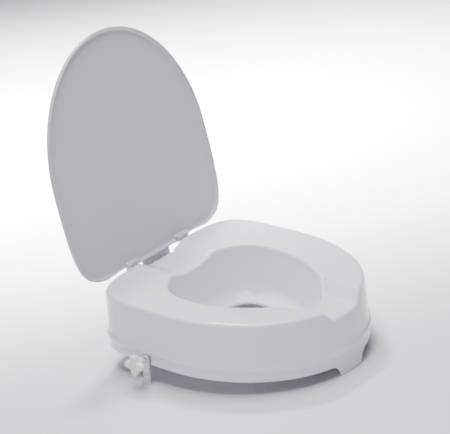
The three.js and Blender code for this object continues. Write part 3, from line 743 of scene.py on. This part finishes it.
# (radius, distance from the plane of symmetry) of the knob's hub
HUB_PROFILE = ((3.5, 193), (4.9, 193), (5.4, 193.5), (5.4, 199), (7.4, 199.1), (8.0, 199.8),
               (8.0, 209), (3.5, 209), (3.5, 193))
STUD = {"start": 154.0, "thread_end": 192.0, "end": 209.0, "depth": 0.75, "tip": 2.5}
# inner face, outer face and radius of the two rings on the stud
RINGS = {"washer": (190.8, 192.7, 5.6), "clip": (182.6, 184.2, 5.0)}


def arm_outline():
    """The arm's outline in Y and Z: a slightly tapering strip with a rounded top."""
    half, corner, taper = CLAMP["arm_width"] / 2, ARM["corner"], ARM["taper"]
    y, top, bottom = CLAMP["y"], CLAMP["arm_top"], CLAMP["arm_bottom"]
    shoulder = top - corner
    corners = [(y - half + taper, bottom), (y + half - taper, bottom), (y + half, shoulder)]
    corners += arc((y + half - corner, shoulder), corner, 0, math.pi / 2, 8)[1:]
    corners += arc((y - half + corner, shoulder), corner, math.pi / 2, math.pi, 8)
    return corners


def make_arm(name, side, material):
    """A flat arm with three upright ridges on its outer face."""
    outer = CLAMP["arm_outer"]
    low, high = sorted((side * CLAMP["arm_inner"], side * (outer - ARM["plate_step"])))
    plate = extruded("arm", arm_outline(), low, high, 0.6)
    cut(plate, [stud_hole(side, 180, 195, 40)])
    parts = [plate]
    for offset in (-4, 0, 4):
        ridge = {"across": (outer - ARM["ridge_depth"], outer),
                 "along": about(CLAMP["y"] + offset, ARM["ridge_half"]),
                 "up": (CLAMP["arm_bottom"], CLAMP["z"] - ARM["ridge_drop"])}
        parts.append(side_block("ridge", side, ridge, 0.6))
    arm = joined(f"clamp_arm_{name}_nylon", parts)
    dress(arm, material, f"clamp_{name}", "nylon", f"clamp_arm_{name}")


def make_grip(name, side, material):
    """The arm's rubber pad, with grooves across its face."""
    outer = CLAMP["arm_inner"] - GRIP["gap"]
    inner = outer - GRIP["thickness"]
    block = {"across": (inner, outer), "along": about(CLAMP["y"], GRIP["half"]), "up": GRIP["up"]}
    pad = side_block("pad", side, block, 0.6)
    grooves = []
    for i in range(GROOVE["count"]):
        z = GROOVE["start"] + i * GROOVE["step"]
        groove = {"across": (inner - 1, inner + GROOVE["depth"]),
                  "along": about(CLAMP["y"], GROOVE["half"]), "up": (z, z + GROOVE["width"])}
        grooves.append(side_block("groove", side, groove, 0.2, 1))
    cut(pad, grooves)
    pad.name = f"clamp_pad_{name}_rubber"
    dress(pad, material, f"clamp_{name}", "rubber", f"clamp_pad_{name}")


def star_ring(inset, steps):
    """The knob's lobed outline, drawn in by a distance, as (y, z) about its axis."""
    ring = []
    for i in range(steps):
        turn = 2 * math.pi * i / steps
        lobe = (1 + math.cos(KNOB["lobes"] * turn)) / 2
        radius = mix(KNOB["waist"], KNOB["lobe"], lobe ** 0.8) - inset
        ring.append((radius * math.cos(turn), radius * math.sin(turn)))
    return ring


def knob_rings(steps):
    """The star's rings as lists of (distance from the plane of symmetry, y, z) about its axis."""
    rounding, inner_x, outer_x = KNOB["round"], KNOB["inner"], KNOB["outer"]
    levels = [(rounding * (1 - math.sin(turn)), inner_x + rounding * (1 - math.cos(turn)))
              for turn in quarter(6)]
    levels += [(rounding * (1 - math.sin(turn)), outer_x - rounding * (1 - math.cos(turn)))
               for turn in reversed(quarter(6))]
    rings = [[(x, y, z) for y, z in star_ring(inset, steps)] for inset, x in levels]
    for share, depth in KNOB_DISH:
        ring = []
        for y, z in star_ring(rounding, steps):
            radius = math.hypot(y, z)
            even = mix(radius, KNOB["hollow"], 1 - share) * share
            ring.append((outer_x - depth, y / radius * even, z / radius * even))
        rings.append(ring)
    return rings


def tube_faces(rows, around):
    """Quads between neighbouring rings of a tube, and a face over each end."""
    faces = []
    for row in range(rows - 1):
        for i in range(around):
            j = (i + 1) % around
            first, second = row * around, (row + 1) * around
            faces.append((first + i, first + j, second + j, second + i))
    faces.append(tuple(range(around)))
    faces.append(tuple(range((rows - 1) * around, rows * around)))
    return faces


def make_knob(name, side, material):
    """A moulded star knob: rounded lobes, a dished outer face and a round hub towards the arm."""
    steps = 144
    rings = knob_rings(steps)
    points = [(side * x, CLAMP["y"] + y, CLAMP["z"] + z) for ring in rings for x, y, z in ring]
    star = build("star", points, tube_faces(len(rings), steps))
    hub = lathe("hub", HUB_PROFILE, (0, CLAMP["y"], CLAMP["z"]), (side, 0, 0))
    knob = joined(f"clamp_knob_{name}_nylon", [star, hub])
    dress(knob, material, f"knob_{name}", "nylon", f"clamp_knob_{name}")


def make_stud(name, side, material):
    """The stud's round thread, as one helix cut into a rod."""
    root, crest, pitch = CLAMP["stud"] - STUD["depth"], CLAMP["stud"], CLAMP["pitch"]
    start, thread_end, end = STUD["start"], STUD["thread_end"], STUD["end"]
    around, per_turn = 36, 8
    rows = int((end - start) / pitch * per_turn)
    points = []
    for row in range(rows + 1):
        x = start + row * pitch / per_turn
        for i in range(around):
            turn = 2 * math.pi * i / around
            wave = 0.5 + 0.5 * math.cos(2 * math.pi * (x - start) / pitch - turn)
            depth = smooth_step(wave, 0.25, 0.75) if x < thread_end else 1.0
            radius = mix(root, crest, depth) * mix(0.7, 1.0, smooth_step(x, start, start + STUD["tip"]))
            points.append((side * x, CLAMP["y"] + radius * math.cos(turn),
                           CLAMP["z"] + radius * math.sin(turn)))
    stud = build(f"clamp_stud_{name}_steel", points, tube_faces(rows + 1, around))
    dress(stud, material, f"knob_{name}", "steel", f"clamp_stud_{name}")


def make_ring(name, kind, side, material):
    """A washer or clip round the stud, with softened edges."""
    inner, outer, radius = RINGS[kind]
    bore, soft = CLAMP["stud"] + 0.3, 0.25
    profile = [(bore, inner), (radius - soft, inner), (radius, inner + soft), (radius, outer - soft),
               (radius - soft, outer), (bore, outer), (bore, inner)]
    ring = lathe(f"clamp_{kind}_{name}_steel", profile, (0, CLAMP["y"], CLAMP["z"]), (side, 0, 0))
    dress(ring, material, f"knob_{name}", "steel", f"clamp_{kind}_{name}")


def make_nut(name, side, material):
    nut = side_block("nut", side, NUT, 0.5)
    cut(nut, [stud_hole(side, 155, 175, 40)])
    nut.name = f"clamp_nut_{name}_steel"
    dress(nut, material, "seat", "steel", f"clamp_nut_{name}")


# ---------------------------------------------------------------- materials

class Graph:
    """A few short-hands for building a material's nodes."""

    def __init__(self, name):
        self.material = bpy.data.materials.new(name)
        self.material.use_nodes = True
        self.tree = self.material.node_tree
        self.shader = self.tree.nodes["Principled BSDF"]
        self.place = self.node("ShaderNodeTexCoord").outputs["Object"]

    def node(self, kind, **values):
        made = self.tree.nodes.new(kind)
        for key, value in values.items():
            made.inputs[key].default_value = value
        return made

    def link(self, source, target):
        self.tree.links.new(source, target)

    def noise(self, scale, detail=3.0, stretch=(1, 1, 1)):
        """Noise in metres: scale is the number of features in a metre."""
        mapping = self.node("ShaderNodeMapping", Scale=stretch)
        self.link(self.place, mapping.inputs["Vector"])
        noise = self.node("ShaderNodeTexNoise", Scale=scale, Detail=detail)
        self.link(mapping.outputs["Vector"], noise.inputs["Vector"])
        return noise.outputs["Fac"]

    def ramp(self, source, low, high, start=0.0, end=1.0):
        """Map a value from one range to another."""
        ranged = self.node("ShaderNodeMapRange", **{"From Min": low, "From Max": high,
                                                    "To Min": start, "To Max": end})
        self.link(source, ranged.inputs["Value"])
        return ranged.outputs["Result"]

    def add(self, first, second):
        total = self.tree.nodes.new("ShaderNodeMath")
        total.operation = "ADD"
        self.link(first, total.inputs[0])
        self.link(second, total.inputs[1])
        return total.outputs[0]

    def colour(self, amount, first, second):
        blend = self.tree.nodes.new("ShaderNodeMix")
        blend.data_type = "RGBA"
        blend.inputs["A"].default_value = (*first, 1)
        blend.inputs["B"].default_value = (*second, 1)
        self.link(amount, blend.inputs["Factor"])
        self.link(blend.outputs["Result"], self.shader.inputs["Base Color"])

    def bump(self, height, strength, distance):
        bump = self.node("ShaderNodeBump", Strength=strength, Distance=distance)
        self.link(height, bump.inputs["Height"])
        self.link(bump.outputs["Normal"], self.shader.inputs["Normal"])

    def set(self, **values):
        for key, value in values.items():
            self.shader.inputs[key.replace("_", " ")].default_value = value


def moulded_plastic(name, light, dark, gloss):
    """Glossy moulded white: faint clouding, a moulding texture and hairline scratches from wiping."""
    g = Graph(name)
    g.colour(g.ramp(g.noise(7, 4), 0.3, 0.7), light, dark)
    scratches = g.ramp(g.noise(60, 6, (1, 14, 1)), 0.62, 0.74, 0.0, 0.04)
    cloud = g.ramp(g.noise(18, 3), 0.3, 0.7, gloss, gloss + 0.03)
    g.link(g.add(cloud, scratches), g.shader.inputs["Roughness"])
    g.bump(g.noise(900, 2), 0.06, 0.0002)
    g.set(IOR=1.49, Specular_IOR_Level=0.5)
    return g.material


def nylon():
    """Natural nylon: milky, a little see-through, with a silky moulded surface."""
    g = Graph("natural_nylon")
    g.colour(g.ramp(g.noise(90, 3), 0.3, 0.7), (0.90, 0.91, 0.88), (0.84, 0.85, 0.82))
    g.link(g.ramp(g.noise(150, 3), 0.3, 0.7, 0.24, 0.38), g.shader.inputs["Roughness"])
    g.bump(g.noise(1400, 2), 0.10, 0.0002)
    g.set(IOR=1.53, Transmission_Weight=0.12, Subsurface_Weight=0.30,
          Subsurface_Radius=(0.004, 0.004, 0.003))
    return g.material


def rubber():
    """Matt grey rubber with a fine grain and dusty patches."""
    g = Graph("grey_rubber")
    g.colour(g.ramp(g.noise(110, 4), 0.35, 0.65), (0.33, 0.33, 0.32), (0.42, 0.42, 0.40))
    g.link(g.ramp(g.noise(240, 3), 0.3, 0.7, 0.62, 0.85), g.shader.inputs["Roughness"])
    g.bump(g.noise(2200, 4), 0.25, 0.0003)
    return g.material


def zinc_steel():
    """Zinc-plated steel with turning marks and dull spots."""
    g = Graph("zinc_steel")
    g.colour(g.ramp(g.noise(160, 4), 0.35, 0.65), (0.62, 0.63, 0.66), (0.50, 0.51, 0.53))
    g.link(g.ramp(g.noise(700, 4, (1, 0.1, 0.1)), 0.3, 0.7, 0.22, 0.42), g.shader.inputs["Roughness"])
    g.bump(g.noise(2500, 3, (1, 0.15, 0.15)), 0.12, 0.0002)
    g.set(Metallic=1.0)
    return g.material


def floor_material():
    """Pale grey with faint patches."""
    g = Graph("studio_floor")
    g.colour(g.ramp(g.noise(2, 3), 0.3, 0.7), (0.80, 0.80, 0.82), (0.78, 0.78, 0.80))
    g.link(g.ramp(g.noise(30, 4), 0.3, 0.7, 0.55, 0.65), g.shader.inputs["Roughness"])
    return g.material


# ---------------------------------------------------------------- studio

FLOOR_REACH = 9000
VIEW = {"azimuth": -48.92, "elevation": 23.88, "roll": 5.05, "lens": 164.6}
CAMERA_PLACE = (-2301.2, -1995.9, 1545.0)

# Lights round the object in metres. place is (away from the camera, to its right, up).
GLOW = {"place": (1.1, -0.4, 1.0), "size": (1.9, 0.7), "power": 175, "spread": 92}
LIGHTS = {
    "top_light": {"place": (0.1, 0.0, 2.4), "target": 0.1, "size": (1.5, 1.2), "power": 49},
    "key_light": {"place": (0.9, -0.30, 2.0), "target": 0.1, "size": (0.4, 0.22), "power": 38},
    "near_light": {"place": (-0.8, -0.30, 2.3), "target": 0.1, "size": (0.5, 0.2), "power": 23,
                   "colour": (0.92, 0.94, 1.0)},
    "low_light": {"place": (-2.4, -0.5, 0.7), "target": 0.0, "size": (2.6, 1.0), "power": 11},
    "front_light": {"place": (-1.8, -2.2, 1.9), "target": 0.15, "size": (2.4, 1.8), "power": 13,
                    "colour": (0.88, 0.91, 1.0)},
}
WORLD = {"colour": (0.82, 0.85, 1.0), "strength": 0.23}


def make_floor():
    """A wide plane that the front lug and both clamp arms stand on, so it is tilted in this frame."""
    front_edge = CLAMP["y"] - CLAMP["arm_width"] / 2 + 1
    lug_y = -(OUTLINE["front"] - OUTLINE["centre_y"]) - SEAT["flare_front"]
    slope = (-LUG["drop"] - CLAMP["arm_bottom"]) / (lug_y - front_edge)
    corners = [(x * FLOOR_REACH, y * FLOOR_REACH,
                CLAMP["arm_bottom"] + slope * (y * FLOOR_REACH - front_edge))
               for x, y in ((-1, -1), (1, -1), (1, 1), (-1, 1))]
    floor = build("studio_floor", corners, [(0, 1, 2, 3)])
    floor.data.materials.append(floor_material())


def aim(thing, place, target):
    thing.location = place
    thing.rotation_euler = (Vector(target) - Vector(place)).to_track_quat("-Z", "Y").to_euler()


def area_light(name, place, target, size, power, colour=(1, 1, 1)):
    light = bpy.data.lights.new(name, "AREA")
    light.shape = "RECTANGLE"
    light.size, light.size_y = size
    light.energy = power
    light.color = colour
    lamp = bpy.data.objects.new(name, light)
    bpy.context.scene.collection.objects.link(lamp)
    aim(lamp, place, target)
    return lamp


def make_camera():
    """The photograph's camera, rolled a little so that upright edges lean left."""
    azimuth, elevation, roll = (math.radians(VIEW[key]) for key in ("azimuth", "elevation", "roll"))
    back = Vector((math.sin(azimuth) * math.cos(elevation), -math.cos(azimuth) * math.cos(elevation),
                   math.sin(elevation)))
    level = Vector((0, 0, 1)).cross(back).normalized()
    upright = back.cross(level)
    right = level * math.cos(roll) - upright * math.sin(roll)
    up = level * math.sin(roll) + upright * math.cos(roll)
    camera = bpy.data.objects.new("camera", bpy.data.cameras.new("camera"))
    camera.data.lens = VIEW["lens"]
    camera.data.sensor_width = 36
    camera.data.clip_end = 50
    bpy.context.scene.collection.objects.link(camera)
    place = Vector(CAMERA_PLACE) * MM + ORIGIN
    camera.matrix_world = Matrix.Translation(place) @ Matrix((right, up, back)).transposed().to_4x4()
    bpy.context.scene.camera = camera


def make_lights():
    """A narrow glow on the floor behind, five lights over and before the object, and a dim blue world."""
    azimuth = math.radians(VIEW["azimuth"])
    away = Vector((-math.sin(azimuth), math.cos(azimuth), 0))
    across = Vector((math.cos(azimuth), math.sin(azimuth), 0))

    def from_camera(back, right, up=0.0):
        return away * back + across * right + Vector((0, 0, up))

    back, right, up = GLOW["place"]
    below = from_camera(back, right) + away * 0.01
    glow = area_light("glow_light", from_camera(back, right, up), below, GLOW["size"], GLOW["power"])
    glow.data.spread = math.radians(GLOW["spread"])
    for name, light in LIGHTS.items():
        area_light(name, from_camera(*light["place"]), (0, 0, light["target"]), light["size"],
                   light["power"], light.get("colour", (1, 1, 1)))
    world = bpy.data.worlds.new("studio")
    world.use_nodes = True
    background = world.node_tree.nodes["Background"]
    background.inputs["Color"].default_value = (*WORLD["colour"], 1)
    background.inputs["Strength"].default_value = WORLD["strength"]
    bpy.context.scene.world = world


# ---------------------------------------------------------------- assembly

make_camera()
make_floor()
make_lights()

seat_white = moulded_plastic("seat_white", (0.77, 0.77, 0.84), (0.76, 0.76, 0.83), 0.10)
# The lid is the same white plastic as the seat. Its colour is painted darker here as painted shade, for a
# face turned away from the lights.
lid_white_painted_shade = moulded_plastic("lid_white_painted_shade", (0.55, 0.55, 0.59), (0.54, 0.54, 0.58), 0.22)
nylon_white = nylon()
grey_rubber = rubber()
steel = zinc_steel()

make_seat(seat_white)
make_rim_pads(grey_rubber)
make_lid(lid_white_painted_shade)
for side_name, side_sign in SIDES.items():
    make_bracket(side_name, side_sign, seat_white)
    make_pin(side_name, side_sign, steel)
    for count, screw_place in enumerate(SCREWS, 1):
        make_screw(side_name, count, side_sign, screw_place, steel)
    make_arm(side_name, side_sign, nylon_white)
    make_grip(side_name, side_sign, grey_rubber)
    make_knob(side_name, side_sign, nylon_white)
    make_stud(side_name, side_sign, steel)
    for ring_kind in RINGS:
        make_ring(side_name, ring_kind, side_sign, steel)
    make_nut(side_name, side_sign, steel)
